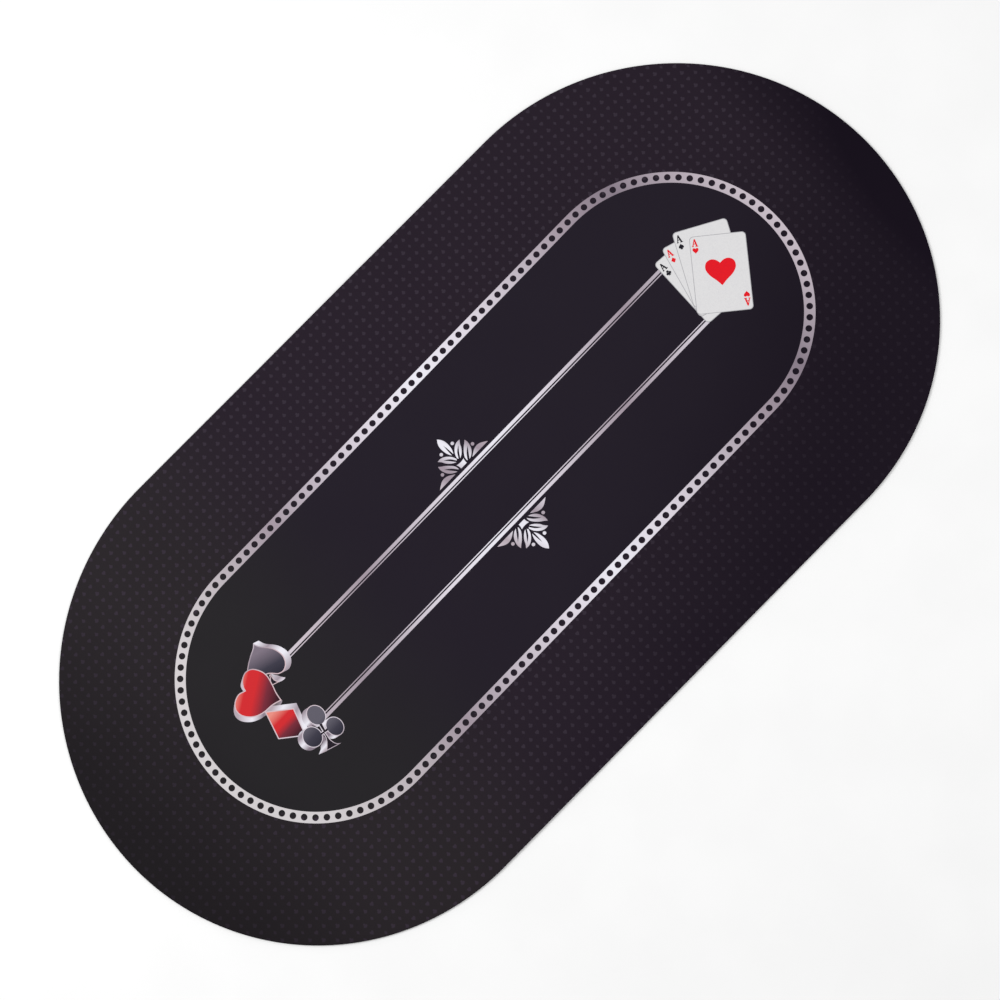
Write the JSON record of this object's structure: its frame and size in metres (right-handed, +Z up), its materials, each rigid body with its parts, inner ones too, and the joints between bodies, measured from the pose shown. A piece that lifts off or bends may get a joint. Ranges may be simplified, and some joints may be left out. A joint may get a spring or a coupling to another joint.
{
  "type": "roll-out poker table top",
  "caption": "Oval roll-out poker table top: a printed cloth bonded to a thin foam-rubber mat, with a silver track line, card and suit artwork and a grippy underside.",
  "frame": {"origin": "middle of the oval outline, on the surface that the mat lies on", "axes": "+X along the length towards the end with the printed fan of cards, +Y across the width, +Z up out of the printed face"},
  "size_m": [1.778, 0.914, 0.003],
  "materials": {
    "printed_cloth": "smooth close-woven polyester, dye-printed near black, matte with a faint sheen",
    "film": "milky hot-melt film",
    "foam_rubber": "matte black foam rubber, fine anti-slip emboss underneath"
  },
  "bodies": {
    "root": {"face_cloth": "printed_cloth", "bonding_film": "film", "foam_rubber_base": "foam_rubber"}
  },
  "joints": []
}
